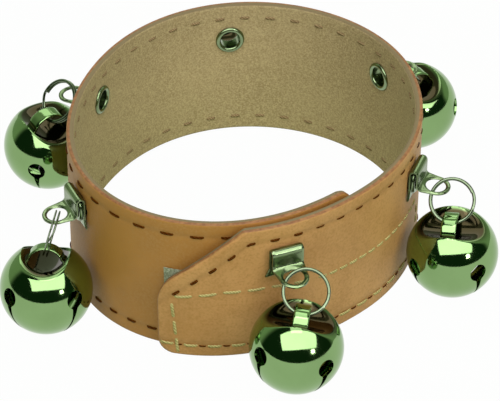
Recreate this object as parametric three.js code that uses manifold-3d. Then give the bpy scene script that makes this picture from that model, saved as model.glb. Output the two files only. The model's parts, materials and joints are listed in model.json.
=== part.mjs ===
// A leather bell band for the wrist or ankle, in millimetres, +Z up.
// One long strap is bent round and laps over itself at the front, where a hook strip under its flap
// grips a loop strip on the layer below. Along the strap, at an even pitch, eyelets clench folded metal
// hangers to the leather. Each hanger's tab carries a split ring, and each ring carries a jingle bell
// with a loose rattle ball inside. The band stands on its lower edge with its bells lying round it.
import * as THREE from "three";
import { mergeVertices } from "three/addons/utils/BufferGeometryUtils.js";
import Module from "manifold-3d";

const wasm = await Module();
wasm.setup();

// Strap: its cut shape
const STRAP_WIDTH = 41.5;
const STRAP_THICKNESS = 2;
const FLAP_END_HEIGHT = 22;
const FLAP_SLANT_LENGTH = 22.5;
const FLAP_CORNER = 4;
const INNER_END_CORNER = 4.5;

// Strap: how it is bent, seen from above, with turns in degrees from the front, positive to the right
const BAND_RADIUS = 48;
const OVAL = 3.6;
const OVAL_TURN = -28;
const EGG = 0.85;
const FLAP_END_TURN = -23;
const INNER_END_TURN = 39;
const LIFT_FULL_TURN = 46;
const LIFT_START_TURN = 110;
const LOWER_EDGE_DRAWN_IN = 2;

// Hook and loop closure
const HOOK_THICKNESS = 0.5;
const HOOK_WIDTH = 20.7;
const HOOK_LOW = 2.3;
const HOOK_LENGTH = 88;
const HOOK_FROM_END = 2.5;
const LOOP_THICKNESS = 0.5;
const LOOP_WIDTH = 20;
const LOOP_LOW = 6.3;
const LOOP_LENGTH = 47.5;
const LOOP_FROM_END = 4;
const LAYER_GAP = 0.15;

// Bell stations along the strap, counted from the flap's end
const FIRST_BELL = 33;
const BELL_PITCH = 49;
const EYELET_HEIGHT = 30.4;

// Eyelet
const EYELET_HOLE = 2.6;
const EYELET_WALL = 0.45;
const EYELET_FLANGE = 4;
const EYELET_FLANGE_THICKNESS = 0.6;
const EYELET_ROLL = 3.8;
const EYELET_ROLL_THICKNESS = 0.6;
const EYELET_CLEARANCE = 0.15;

// Hanger, a folded strip of sheet metal
const SHEET = 0.7;
const HANGER_WIDTH = 8.5;
const HANGER_RISE = 5.2;
const HANGER_TAIL = 4;
const TAIL_FLARE = 10.6;
const TAIL_FLARE_FROM = 1.5;
const LEG_GAP = 1.3;
const TAB_BEND = 1;
const TAB_BELOW_EYELET = 0.6;
const EYE_REACH = 2.75;
const EYE_HOLE = 2.65;
const TAB_END = 3.85;
const SEAT_GAP = 0.2;

// Split ring, two turns of flat wire
const RING_OUTSIDE = 6.2;
const WIRE_WIDTH = 0.9;
const WIRE_THICKNESS = 0.5;
const TURN_GAP = 0.42;
const RING_STEPS = 24;
const JOG_STEPS = 3;
const RIM_CLEARANCE = 0.15;
const RING_SWING = 9;

// Bell
const BELL_RADIUS = 12.3;
const BELL_CROWN = 12.1;
const BELL_WALL = 0.8;
const POCKET_LENGTH = 20;
const POCKET_WIDTH = 12.4;
const POCKET_DEPTH = 4.6;
const BRIDGE_WIDTH = 4;
const BRIDGE_THICKNESS = 0.7;
const BRIDGE_CLEARANCE = 0.7;
const KEYHOLE = 2.4;
const KEYHOLE_RISE = 1;
const SLIT_NARROW_DROP = 5;
const SLIT_TOP = 2.2;
const SLIT_BOTTOM = 0.6;
const BALL_RADIUS = 3;
const BALL_CLEARANCE = 0.15;

// How each hanger, ring and bell lies, in degrees: the tab's bend below level, the side of the eye that
// the ring hangs from and the way the ring leans, both turned from straight out, positive to the right
// as seen from outside the band, and how the bell leans from upright: its tilt, positive where its foot
// swings the way of the lean, and its roll about that way.
const STATIONS = [
  { name: "front", tabDrop: 5, rimTurn: 63, leanTurn: -27, bellTilt: 5, bellRoll: -7 },
  { name: "right_front", tabDrop: 4, rimTurn: 0, leanTurn: -40, bellTilt: 0, bellRoll: 6 },
  { name: "right_back", tabDrop: 4, rimTurn: 86, leanTurn: 10, bellTilt: 4, bellRoll: 0 },
  { name: "back", tabDrop: 4, rimTurn: 92, leanTurn: 2, bellTilt: 8, bellRoll: 0 },
  { name: "left_back", tabDrop: 4, rimTurn: -26, leanTurn: 64, bellTilt: -4, bellRoll: -5 },
  { name: "left_front", tabDrop: 4, rimTurn: 57, leanTurn: 45, bellTilt: 12, bellRoll: 4 },
];

// Facet counts
const STRAP_STEP = 5;
const CORNER_STEPS = 4;
const LATHE_STEPS = 20;
const POCKET_STEPS = 12;
const EYELET_STEPS = 12;
const HOLE_STEPS = 12;
const BEND_STEPS = 3;
const BALL_STEPS = 12;

const MERGE_DISTANCE = 1e-4;
const UP = new THREE.Vector3(0, 0, 1);
const radians = THREE.MathUtils.degToRad;
const LAYER_STEP = STRAP_THICKNESS + HOOK_THICKNESS + LOOP_THICKNESS + 3 * LAYER_GAP;

// Solids from closed geometry, and back

function solidOf(geometry) {
  const bare = geometry.clone();
  bare.deleteAttribute("normal");
  bare.deleteAttribute("uv");
  const merged = mergeVertices(bare, MERGE_DISTANCE);
  const corners = merged.index.array;
  const triangles = [];
  for (let i = 0; i < corners.length; i += 3) {
    const [a, b, c] = corners.slice(i, i + 3);
    if (a !== b && b !== c && c !== a) triangles.push(a, b, c);
  }
  return new wasm.Manifold(
    new wasm.Mesh({
      numProp: 3,
      vertProperties: merged.attributes.position.array,
      triVerts: new Uint32Array(triangles),
    }),
  );
}

function geometryOf(solid) {
  const mesh = solid.getMesh();
  const geometry = new THREE.BufferGeometry();
  geometry.setAttribute("position", new THREE.BufferAttribute(mesh.vertProperties, 3));
  geometry.setIndex(new THREE.BufferAttribute(mesh.triVerts, 1));
  geometry.computeVertexNormals();
  return geometry;
}

function closedMesh(points, triangles) {
  const geometry = new THREE.BufferGeometry();
  geometry.setAttribute("position", new THREE.Float32BufferAttribute(points.flat(), 3));
  geometry.setIndex(triangles);
  return geometry;
}

// A ring of points for each section, joined section to section and closed by a fan at both ends.
function loft(sections) {
  const sides = sections[0].length;
  const points = sections.flat().map((p) => [p.x, p.y, p.z]);
  const triangles = [];
  for (let i = 0; i + 1 < sections.length; i++) {
    for (let k = 0; k < sides; k++) {
      const a = i * sides + k;
      const b = i * sides + ((k + 1) % sides);
      triangles.push(a, b, b + sides, a, b + sides, a + sides);
    }
  }
  const last = (sections.length - 1) * sides;
  for (let k = 1; k + 1 < sides; k++) {
    triangles.push(0, k + 1, k, last, last + k, last + k + 1);
  }
  return closedMesh(points, triangles);
}

function lathe(profile, steps) {
  const turned = new THREE.LatheGeometry(
    profile.map(([r, z]) => new THREE.Vector2(r, z)),
    steps,
  );
  return turned.rotateX(Math.PI / 2);
}

// A straight round bar along Z, for cutting holes.
function bar(radius, length) {
  return new THREE.CylinderGeometry(radius, radius, length, HOLE_STEPS).rotateX(Math.PI / 2);
}

// An outline in X and Y, extruded along Z and centred on it.
function plate(shape, thickness) {
  const options = { depth: thickness, bevelEnabled: false, curveSegments: HOLE_STEPS };
  return new THREE.ExtrudeGeometry(shape, options).translate(0, 0, -thickness / 2);
}

// The strap's bent surface

// Outer face's radius at an unrolled turn, in radians, and a height: an oval with a slight egg shape,
// lifted by one layer where the flap lies over the strap's own inner end, and drawn in below there.
function faceRadius(angle, z) {
  const oval = OVAL * Math.cos(2 * (angle - radians(OVAL_TURN)));
  const egg = -EGG * Math.sin(3 * angle);
  const settled = THREE.MathUtils.smoothstep(angle, radians(LIFT_FULL_TURN), radians(LIFT_START_TURN));
  const overlapMiddle = radians((FLAP_END_TURN + INNER_END_TURN) / 2);
  const nearness = ((1 + Math.cos(angle - overlapMiddle)) / 2) ** 4;
  const drawnIn = LOWER_EDGE_DRAWN_IN * nearness * (1 - z / STRAP_WIDTH);
  return BAND_RADIUS + oval + egg + LAYER_STEP * (1 - settled) - drawnIn;
}

function facePoint(angle, z) {
  const r = faceRadius(angle, z);
  return new THREE.Vector3(r * Math.sin(angle), -r * Math.cos(angle), z);
}

// Unrolled turns at even steps, with the length of strap from the flap's end to each.
const strapRule = [{ angle: radians(FLAP_END_TURN), length: 0 }];
const RULE_STEPS = 900;
const wrap = radians(360 + INNER_END_TURN - FLAP_END_TURN);
for (let i = 1; i <= RULE_STEPS; i++) {
  const angle = radians(FLAP_END_TURN) + (wrap * i) / RULE_STEPS;
  const before = strapRule[i - 1];
  const step = facePoint(angle, STRAP_WIDTH / 2).distanceTo(facePoint(before.angle, STRAP_WIDTH / 2));
  strapRule.push({ angle, length: before.length + step });
}
const STRAP_LENGTH = strapRule[RULE_STEPS].length;

function angleAt(length) {
  const next = Math.max(1, strapRule.findIndex((mark) => mark.length >= length - MERGE_DISTANCE));
  const from = strapRule[next - 1];
  const to = strapRule[next];
  const share = (length - from.length) / (to.length - from.length);
  return from.angle + share * (to.angle - from.angle);
}

// A frame on the outer face: X to the left as seen from outside, Y straight out, Z up the face.
function faceFrame(length, z) {
  const angle = angleAt(length);
  const small = 1e-3;
  const along = facePoint(angle + small, z).sub(facePoint(angle - small, z)).normalize();
  const rise = facePoint(angle, z + small).sub(facePoint(angle, z - small)).normalize();
  const out = new THREE.Vector3().crossVectors(along, rise).normalize();
  const side = new THREE.Vector3().crossVectors(out, rise);
  return { origin: facePoint(angle, z), side, out, rise };
}

function pointInStrap(length, z, depth) {
  const face = faceFrame(length, z);
  return face.origin.addScaledVector(face.out.setZ(0).normalize(), -depth);
}

// A strip that follows the strap between two lengths: low and high give its edges at each length.
function strip(lengths, low, high, outerDepth, innerDepth) {
  const sections = lengths.map((length) => [
    pointInStrap(length, low(length), outerDepth),
    pointInStrap(length, low(length), innerDepth),
    pointInStrap(length, high(length), innerDepth),
    pointInStrap(length, high(length), outerDepth),
  ]);
  return loft(sections);
}

function evenLengths(from, to) {
  const count = Math.ceil((to - from) / STRAP_STEP);
  return Array.from({ length: count + 1 }, (_, i) => from + ((to - from) * i) / count);
}

// Lengths at which a quarter-round corner of this radius is stepped, from its end inward.
function cornerLengths(radius) {
  const turns = Array.from({ length: CORNER_STEPS }, (_, i) => (Math.PI / 2) * (i / CORNER_STEPS));
  return turns.map((t) => radius * (1 - Math.cos(t)));
}

// How far a rounded corner has taken the edge in, at this distance from the end.
function cornerCut(radius, distance) {
  const inside = Math.max(0, radius - distance);
  return radius - Math.sqrt(radius ** 2 - inside ** 2);
}

function makeStrap(frames) {
  const low = (s) =>
    cornerCut(FLAP_CORNER, s) + cornerCut(INNER_END_CORNER, STRAP_LENGTH - s);
  const slantRise = (STRAP_WIDTH - FLAP_END_HEIGHT) / FLAP_SLANT_LENGTH;
  const high = (s) =>
    Math.min(STRAP_WIDTH, FLAP_END_HEIGHT + slantRise * s - cornerCut(FLAP_CORNER, s)) -
    cornerCut(INNER_END_CORNER, STRAP_LENGTH - s);
  const lengths = [
    ...cornerLengths(FLAP_CORNER),
    ...evenLengths(FLAP_CORNER, FLAP_SLANT_LENGTH),
    ...evenLengths(FLAP_SLANT_LENGTH, STRAP_LENGTH - INNER_END_CORNER).slice(1),
    ...cornerLengths(INNER_END_CORNER).map((s) => STRAP_LENGTH - s).reverse(),
  ];
  let leather = solidOf(strip(lengths, low, high, 0, STRAP_THICKNESS));
  const hole = bar(EYELET_HOLE + EYELET_WALL + EYELET_CLEARANCE, 4 * STRAP_THICKNESS);
  for (const frame of frames) {
    leather = leather.subtract(solidOf(hole.clone().rotateX(Math.PI / 2).applyMatrix4(frame)));
  }
  return geometryOf(leather);
}

function makeHookStrip() {
  const from = HOOK_FROM_END;
  const outerDepth = STRAP_THICKNESS + LAYER_GAP;
  const top = HOOK_LOW + HOOK_WIDTH;
  const lengths = evenLengths(from, from + HOOK_LENGTH);
  return strip(lengths, () => HOOK_LOW, () => top, outerDepth, outerDepth + HOOK_THICKNESS);
}

function makeLoopStrip() {
  const to = STRAP_LENGTH - LOOP_FROM_END;
  const top = LOOP_LOW + LOOP_WIDTH;
  const lengths = evenLengths(to - LOOP_LENGTH, to);
  return strip(lengths, () => LOOP_LOW, () => top, -LAYER_GAP - LOOP_THICKNESS, -LAYER_GAP);
}

// Eyelet: a flange on the suede side, a barrel through leather and hanger, and a rolled outer end
function makeEyelet() {
  const wall = EYELET_HOLE + EYELET_WALL;
  const inside = -STRAP_THICKNESS - SEAT_GAP;
  const outside = SEAT_GAP + SHEET + EYELET_CLEARANCE;
  const flangeSoft = EYELET_FLANGE_THICKNESS / 2;
  const rollSoft = EYELET_ROLL_THICKNESS / 2;
  const profile = [
    [EYELET_HOLE, inside - flangeSoft],
    [EYELET_HOLE + flangeSoft, inside - EYELET_FLANGE_THICKNESS],
    [EYELET_FLANGE - flangeSoft, inside - EYELET_FLANGE_THICKNESS],
    [EYELET_FLANGE, inside - flangeSoft],
    [EYELET_FLANGE - flangeSoft, inside],
    [wall, inside],
    [wall, outside],
    [EYELET_ROLL, outside],
    [EYELET_ROLL, outside + rollSoft],
    [wall, outside + EYELET_ROLL_THICKNESS],
    [EYELET_HOLE, outside + rollSoft],
    [EYELET_HOLE, inside - flangeSoft],
  ];
  return lathe(profile, EYELET_STEPS).rotateX(-Math.PI / 2);
}

// Hanger: a strip folded over at the top, whose front leg turns out into a round-ended tab with an eye

// The strip's middle line, seen from the side: out along X, up along Y.
function hangerLine(tabDrop) {
  const fold = (SHEET + LEG_GAP) / 2;
  const back = SEAT_GAP + SHEET / 2;
  const front = back + 2 * fold;
  const tabLevel = -TAB_BELOW_EYELET;
  const line = [new THREE.Vector2(back, -HANGER_TAIL)];
  for (let i = 0; i <= 2 * BEND_STEPS; i++) {
    const t = Math.PI * (1 - i / (2 * BEND_STEPS));
    const rise = HANGER_RISE - SHEET / 2 - fold;
    line.push(new THREE.Vector2(back + fold + fold * Math.cos(t), rise + fold * Math.sin(t)));
  }
  const bend = TAB_BEND + SHEET / 2;
  for (let i = 0; i <= BEND_STEPS; i++) {
    const t = Math.PI + (Math.PI / 2 - tabDrop) * (i / BEND_STEPS);
    line.push(new THREE.Vector2(front + bend + bend * Math.cos(t), tabLevel + bend + bend * Math.sin(t)));
  }
  const along = new THREE.Vector2(Math.cos(tabDrop), -Math.sin(tabDrop));
  const eye = line[line.length - 1].clone().addScaledVector(along, EYE_REACH);
  line.push(eye.clone().addScaledVector(along, TAB_END + SHEET));
  return { line, eye, along };
}

// A strip's side outline: its middle line, set off by half the sheet to each side.
function thicken(line) {
  const offset = (side) =>
    line.map((point, i) => {
      const before = line[Math.max(0, i - 1)];
      const after = line[Math.min(line.length - 1, i + 1)];
      const way = after.clone().sub(before).normalize();
      return new THREE.Vector2(point.x - (side * way.y * SHEET) / 2, point.y + (side * way.x * SHEET) / 2);
    });
  return new THREE.Shape([...offset(-1), ...offset(1).reverse()]);
}

// Turns a side outline's X, Y and depth into out, up and across.
function fromSideView() {
  return new THREE.Matrix4().set(0, 0, 1, 0, 1, 0, 0, 0, 0, 1, 0, 0, 0, 0, 0, 1);
}

// The tab's own frame: X across, Y along the tab from the eye's middle, Z through the sheet.
function tabFrame(tabDrop) {
  const { eye, along } = hangerLine(tabDrop);
  const across = new THREE.Vector3(-1, 0, 0);
  const way = new THREE.Vector3(0, along.x, along.y);
  const through = new THREE.Vector3().crossVectors(across, way);
  return new THREE.Matrix4().makeBasis(across, way, through).setPosition(0, eye.x, eye.y);
}

function makeHanger(tabDrop) {
  const { line } = hangerLine(tabDrop);
  const half = HANGER_WIDTH / 2;
  const fold = solidOf(plate(thicken(line), HANGER_WIDTH).applyMatrix4(fromSideView()));

  const tail = new THREE.Shape();
  tail.moveTo(-half, -TAIL_FLARE_FROM);
  tail.lineTo(-TAIL_FLARE / 2, -HANGER_TAIL);
  tail.lineTo(TAIL_FLARE / 2, -HANGER_TAIL);
  tail.lineTo(half, -TAIL_FLARE_FROM);
  const flare = plate(tail, SHEET).rotateX(Math.PI / 2).translate(0, SEAT_GAP + SHEET / 2, 0);

  const roundEnd = new THREE.Shape();
  roundEnd.moveTo(TAB_END, 0);
  roundEnd.lineTo(half, -EYE_REACH);
  roundEnd.lineTo(2 * half, -EYE_REACH);
  roundEnd.lineTo(2 * half, 2 * half);
  roundEnd.lineTo(-2 * half, 2 * half);
  roundEnd.lineTo(-2 * half, -EYE_REACH);
  roundEnd.lineTo(-half, -EYE_REACH);
  roundEnd.lineTo(-TAB_END, 0);
  roundEnd.absarc(0, 0, TAB_END, Math.PI, 0, true);
  const tab = tabFrame(tabDrop);
  const trim = plate(roundEnd, 4 * SHEET).applyMatrix4(tab);
  const eye = bar(EYE_HOLE, 4 * SHEET).applyMatrix4(tab);
  const clench = bar(EYELET_HOLE + EYELET_WALL + EYELET_CLEARANCE, LEG_GAP + SHEET).rotateX(Math.PI / 2);
  clench.translate(0, SEAT_GAP + SHEET / 2, 0);
  return geometryOf(
    fold
      .add(solidOf(flare))
      .subtract(solidOf(trim))
      .subtract(solidOf(eye))
      .subtract(solidOf(clench)),
  );
}

// Split ring: two flat turns of one wire, joined by a short jog. Its middle is the origin, Y its axis.

const wireMiddle = RING_OUTSIDE - WIRE_WIDTH / 2;
const turnPitch = WIRE_THICKNESS + TURN_GAP;

function ringSections() {
  const steps = 2 * RING_STEPS - JOG_STEPS;
  const jogFrom = RING_STEPS - JOG_STEPS;
  const outline = [[1, 1], [0, 2], [-1, 1], [-1, -1], [0, -2], [1, -1]];
  const sections = [];
  for (let i = 0; i <= steps; i++) {
    const turn = (2 * Math.PI * i) / RING_STEPS;
    const shift = turnPitch * (THREE.MathUtils.clamp((i - jogFrom) / JOG_STEPS, 0, 1) - 0.5);
    sections.push(
      outline.map(([across, along]) => {
        const r = wireMiddle + (across * WIRE_WIDTH) / 2;
        const y = shift + (along * WIRE_THICKNESS) / 4;
        return new THREE.Vector3(r * Math.cos(turn), y, r * Math.sin(turn));
      }),
    );
  }
  return sections;
}

// The least distance between points of the wire that lie half a turn or more apart along it.
function leastGap(sections) {
  let least = Infinity;
  sections.forEach((section, i) => {
    for (const other of sections.slice(i + RING_STEPS / 2)) {
      for (const a of section) {
        for (const b of other) least = Math.min(least, a.distanceTo(b));
      }
    }
  });
  return least;
}

function makeRing() {
  return loft(ringSections());
}

// Bell: a thin shell, round below and flatter above. Its middle is the origin, Z its axis.

// A half outline from the lower pole to the upper one.
function bellOutline(radius, crown) {
  const steps = LATHE_STEPS / 2;
  return Array.from({ length: steps + 1 }, (_, i) => {
    const t = Math.PI * (i / steps - 0.5);
    const r = i === 0 || i === steps ? 0 : radius * Math.cos(t);
    return [r, (t < 0 ? radius : crown) * Math.sin(t)];
  });
}

function ellipsoid(x, y, z) {
  return new THREE.SphereGeometry(1, POCKET_STEPS, POCKET_STEPS / 2).scale(x, y, z);
}

function makeBell() {
  const whole = solidOf(lathe(bellOutline(BELL_RADIUS, BELL_CROWN), LATHE_STEPS));
  const room = solidOf(lathe(bellOutline(BELL_RADIUS - BELL_WALL, BELL_CROWN - BELL_WALL), LATHE_STEPS));
  const pocketAt = (grown) =>
    solidOf(
      ellipsoid(POCKET_LENGTH / 2 + grown, POCKET_WIDTH / 2 + grown, POCKET_DEPTH + grown)
        .translate(0, 0, BELL_CROWN),
    );
  const underBridge = solidOf(
    lathe(bellOutline(BELL_RADIUS - BRIDGE_THICKNESS, BELL_CROWN - BRIDGE_THICKNESS), LATHE_STEPS),
  );
  const slab = new THREE.BoxGeometry(BRIDGE_WIDTH, 2 * BELL_RADIUS, 2 * BELL_RADIUS);
  const bridge = solidOf(slab).subtract(underBridge);
  let shell = whole.subtract(room.subtract(pocketAt(BELL_WALL))).subtract(pocketAt(0).subtract(bridge));

  const slit = new THREE.Shape();
  slit.moveTo(-SLIT_BOTTOM / 2, -2 * BELL_RADIUS);
  slit.lineTo(SLIT_BOTTOM / 2, -2 * BELL_RADIUS);
  slit.lineTo(SLIT_BOTTOM / 2, -SLIT_NARROW_DROP);
  slit.lineTo(SLIT_TOP / 2, KEYHOLE_RISE);
  slit.lineTo(-SLIT_TOP / 2, KEYHOLE_RISE);
  slit.lineTo(-SLIT_BOTTOM / 2, -SLIT_NARROW_DROP);
  for (const turn of [Math.PI / 4, -Math.PI / 4]) {
    const hole = bar(KEYHOLE, 3 * BELL_RADIUS).rotateX(Math.PI / 2).translate(0, 0, KEYHOLE_RISE);
    const cut = plate(slit, 3 * BELL_RADIUS).rotateX(Math.PI / 2);
    shell = shell.subtract(solidOf(hole.rotateZ(turn))).subtract(solidOf(cut.rotateZ(turn)));
  }
  return geometryOf(shell);
}

// Assembly

const finishes = {
  leather: { color: 0xc49a6c, roughness: 0.6, metalness: 0 },
  tape: { color: 0x9aa08a, roughness: 0.9, metalness: 0 },
  nickel: { color: 0xc9ccc4, roughness: 0.15, metalness: 1 },
  steel: { color: 0xa8aaa6, roughness: 0.3, metalness: 1 },
};

function piece(name, geometry, finish, place = new THREE.Matrix4()) {
  const mesh = new THREE.Mesh(geometry, new THREE.MeshStandardMaterial(finishes[finish]));
  mesh.name = name;
  mesh.applyMatrix4(place);
  return mesh;
}

function frameMatrix(x, y, z, origin) {
  return new THREE.Matrix4().makeBasis(x, y, z).setPosition(origin);
}

// From a bell's middle to the wire that it hangs on.
const bellToWire = BELL_CROWN - BRIDGE_THICKNESS - BRIDGE_CLEARANCE - WIRE_WIDTH / 2 - turnPitch / 4;

// From a ring's middle to the rim of the eye inside it. The steeper the ring's plane lies to the tab,
// less the swing that it is given, the more room the tab's thickness takes between the ring's turns.
const rimWidth = TAB_END - EYE_HOLE;
function rimInRing(slope) {
  const steepest = slope + radians(RING_SWING);
  const stack = WIRE_THICKNESS + turnPitch;
  const room = SHEET / 2 / Math.cos(steepest) + (stack / 2) * Math.tan(steepest);
  const inside = RING_OUTSIDE - WIRE_WIDTH - RIM_CLEARANCE;
  return Math.sqrt(inside ** 2 - (rimWidth / 2) ** 2) - room;
}

// The rest pose of one ring and bell. The ring's plane crosses the eye's rim, and the ring leans out just
// far enough for the bell below it to touch the ground that the strap's lower edge stands on. The bell
// hangs where the ring's wire lies square to the bell's axis.
function restPose(station, hangerFrame) {
  const across = new THREE.Vector3().setFromMatrixColumn(hangerFrame, 0).setZ(0).normalize();
  const out = new THREE.Vector3().crossVectors(across, UP).negate();
  const toward = (turn) =>
    out.clone().multiplyScalar(Math.cos(turn)).addScaledVector(across, -Math.sin(turn));
  const tab = new THREE.Matrix4().multiplyMatrices(hangerFrame, tabFrame(radians(station.tabDrop)));
  const eye = new THREE.Vector3().setFromMatrixPosition(tab);
  const tabUnder = new THREE.Vector3().setFromMatrixColumn(tab, 2);
  const level = toward(radians(station.rimTurn));
  const hang = level.addScaledVector(tabUnder, -level.dot(tabUnder)).normalize();
  const rim = eye.clone().addScaledVector(hang, EYE_HOLE + rimWidth / 2);
  const lean = toward(radians(station.leanTurn));

  const poseAt = (angle) => {
    const down = lean.clone().multiplyScalar(Math.sin(angle)).addScaledVector(UP, -Math.cos(angle));
    const ringMiddle = rim.clone().addScaledVector(down, rimInRing(Math.acos(down.dot(tabUnder))));
    const wireWay = hang.clone().addScaledVector(down, -hang.dot(down)).normalize();
    const ringAxis = new THREE.Vector3().crossVectors(wireWay, down);
    const bellAxis = UP.clone().applyAxisAngle(lean, radians(station.bellRoll));
    bellAxis.addScaledVector(lean, -Math.tan(radians(station.bellTilt))).normalize();
    const bellUp = bellAxis.clone().addScaledVector(ringAxis, -bellAxis.dot(ringAxis)).normalize();
    const bellWay = new THREE.Vector3().crossVectors(ringAxis, bellUp);
    const wire = ringMiddle.clone().addScaledVector(bellUp, -wireMiddle);
    const bellMiddle = wire.clone().addScaledVector(bellAxis, -bellToWire);
    return { down, wireWay, ringAxis, rim, ringMiddle, wire, bellWay, bellAxis, bellMiddle };
  };

  let low = 0;
  let high = Math.PI / 2;
  for (let i = 0; i < 40; i++) {
    const middle = (low + high) / 2;
    if (poseAt(middle).bellMiddle.z < BELL_RADIUS) low = middle;
    else high = middle;
  }
  return { ...poseAt(high), leanAngle: high };
}

const stationFrames = STATIONS.map((_, i) => {
  const face = faceFrame(FIRST_BELL + i * BELL_PITCH, EYELET_HEIGHT);
  return frameMatrix(face.side, face.out, face.rise, face.origin);
});

const band = new THREE.Group();
band.add(piece("leather_strap", makeStrap(stationFrames), "leather"));
band.add(piece("hook_strip", makeHookStrip(), "tape"));
band.add(piece("loop_strip", makeLoopStrip(), "tape"));

const eyelet = makeEyelet();
const ring = makeRing();
const bell = makeBell();
const ballRest = BALL_RADIUS + BELL_WALL + BALL_CLEARANCE - BELL_RADIUS;
const ball = new THREE.SphereGeometry(BALL_RADIUS, BALL_STEPS, BALL_STEPS / 2).translate(0, 0, ballRest);

STATIONS.forEach((station, i) => {
  const frame = stationFrames[i];
  const pose = restPose(station, frame);
  const ringUp = pose.down.clone().negate();
  const bellSide = new THREE.Vector3().crossVectors(pose.bellAxis, pose.bellWay);
  const ringPlace = frameMatrix(pose.wireWay, pose.ringAxis, ringUp, pose.ringMiddle);
  const bellPlace = frameMatrix(pose.bellWay, bellSide, pose.bellAxis, pose.bellMiddle);
  const assembly = new THREE.Group();
  assembly.add(piece(`eyelet_${station.name}`, eyelet, "nickel", frame));
  assembly.add(piece(`hanger_${station.name}`, makeHanger(radians(station.tabDrop)), "nickel", frame));
  assembly.add(piece(`split_ring_${station.name}`, ring, "nickel", ringPlace));
  assembly.add(piece(`bell_shell_${station.name}`, bell, "nickel", bellPlace));
  assembly.add(piece(`rattle_ball_${station.name}`, ball, "steel", bellPlace));
  assembly.userData = { name: station.name, ...pose };
  band.add(assembly);
});

console.log(`split ring, least gap between its turns: ${leastGap(ringSections()).toFixed(3)} mm`);

// The origin is under the middle of the whole, on the ground.
const whole = new THREE.Box3().setFromObject(band, true);
const middle = whole.getCenter(new THREE.Vector3());
band.position.set(-middle.x, -middle.y, -whole.min.z);

const object = new THREE.Group();
object.add(band);

export default object;
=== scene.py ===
"""A leather bell band: a lapped strap with jingle bells on split rings and folded metal hangers.

Lengths are in metres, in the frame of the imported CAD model, with +Z up and the lapped front towards -Y.
"""

import json
import math

import bpy
import numpy as np
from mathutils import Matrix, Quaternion, Vector


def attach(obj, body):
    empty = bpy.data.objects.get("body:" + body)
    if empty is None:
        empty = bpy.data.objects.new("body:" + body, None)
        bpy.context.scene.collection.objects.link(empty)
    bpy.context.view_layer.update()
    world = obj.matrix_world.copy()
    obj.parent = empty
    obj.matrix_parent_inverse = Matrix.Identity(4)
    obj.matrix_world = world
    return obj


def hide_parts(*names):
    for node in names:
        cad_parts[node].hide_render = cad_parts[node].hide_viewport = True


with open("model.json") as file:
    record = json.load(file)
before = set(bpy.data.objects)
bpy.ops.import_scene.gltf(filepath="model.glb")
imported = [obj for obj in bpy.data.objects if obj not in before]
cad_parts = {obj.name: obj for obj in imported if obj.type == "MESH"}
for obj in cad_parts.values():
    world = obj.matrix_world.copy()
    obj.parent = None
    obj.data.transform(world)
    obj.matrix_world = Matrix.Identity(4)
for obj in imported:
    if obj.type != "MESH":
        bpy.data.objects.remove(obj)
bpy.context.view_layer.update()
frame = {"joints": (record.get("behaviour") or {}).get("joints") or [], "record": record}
mm = 0.001

# The strap: one long strip of natural tan leather, about 2 mm thick, smooth outside and suede inside.
# It is cut with a slanted flap end and round corners, holed for its eyelets, bent round and lapped over
# itself at the front.
STRAP_WIDTH = 41.5 * mm
STRAP_THICKNESS = 2 * mm
FLAP_END_HEIGHT = 22 * mm
FLAP_SLANT_LENGTH = 22.5 * mm
FLAP_CORNER = 4 * mm
INNER_END_CORNER = 4.5 * mm
EDGE_ROUND = 0.45 * mm

BAND_RADIUS = 48 * mm
OVAL = 3.6 * mm
OVAL_TURN = math.radians(-28)
EGG = 0.85 * mm
FLAP_END_TURN = math.radians(-23)
INNER_END_TURN = math.radians(39)
LIFT_FULL_TURN = math.radians(46)
LIFT_START_TURN = math.radians(110)
LOWER_EDGE_DRAWN_IN = 2 * mm
TAPE_THICKNESS = 0.5 * mm
LAYER_GAP = 0.15 * mm
LAYER_STEP = STRAP_THICKNESS + 2 * TAPE_THICKNESS + 3 * LAYER_GAP

FIRST_BELL = 33 * mm
BELL_PITCH = 49 * mm
EYELET_HEIGHT = 30.4 * mm
EYELET_CUT = 3.2 * mm
STATIONS = ["front", "right_front", "right_back", "back", "left_back", "left_front"]

STITCH_FROM_EDGE = 4.2 * mm
STITCH_GROOVE = 0.14 * mm
GROOVE_REACH = 0.7 * mm
STITCH_SHADE = 0.4
STRAP_CELL = 0.7 * mm
FLAP_TONE_STOP = 104 * mm
FLAP_TONE_FADE = 22 * mm


def face_radius(turn, z):
    """Outer face's distance from the middle: a circle made oval and a little egg-shaped, lifted by one
    layer where the flap lies over the inner end, and drawn in towards the lower edge there."""
    oval = OVAL * np.cos(2 * (turn - OVAL_TURN)) - EGG * np.sin(3 * turn)
    settled = np.clip((turn - LIFT_FULL_TURN) / (LIFT_START_TURN - LIFT_FULL_TURN), 0, 1)
    lift = LAYER_STEP * (1 - settled**2 * (3 - 2 * settled))
    overlap = ((1 + np.cos(turn - (FLAP_END_TURN + INNER_END_TURN) / 2)) / 2) ** 4
    return BAND_RADIUS + oval + lift - LOWER_EDGE_DRAWN_IN * overlap * (1 - z / STRAP_WIDTH)


# The record's mount lies on the lower edge, half-way through the leather, and gives the strap's place.
MOUNT_TURN = math.radians(160)
mount_radius = face_radius(MOUNT_TURN, 0) - STRAP_THICKNESS / 2
mount_way = np.array([math.sin(MOUNT_TURN), -math.cos(MOUNT_TURN), 0])
band_middle = np.array(frame["record"]["mounts"][0]["pos_m"]) - mount_radius * mount_way


def face_point(turn, z):
    """A point of the outer face at a turn from the front and a height."""
    r = face_radius(turn, z)
    return np.stack([r * np.sin(turn), -r * np.cos(turn), z + 0 * r], axis=-1) + band_middle


def lengths_along(line):
    """Length along a line of points, from its first point to each."""
    return np.append(0, np.cumsum(np.linalg.norm(np.diff(line, axis=0), axis=1)))


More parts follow.
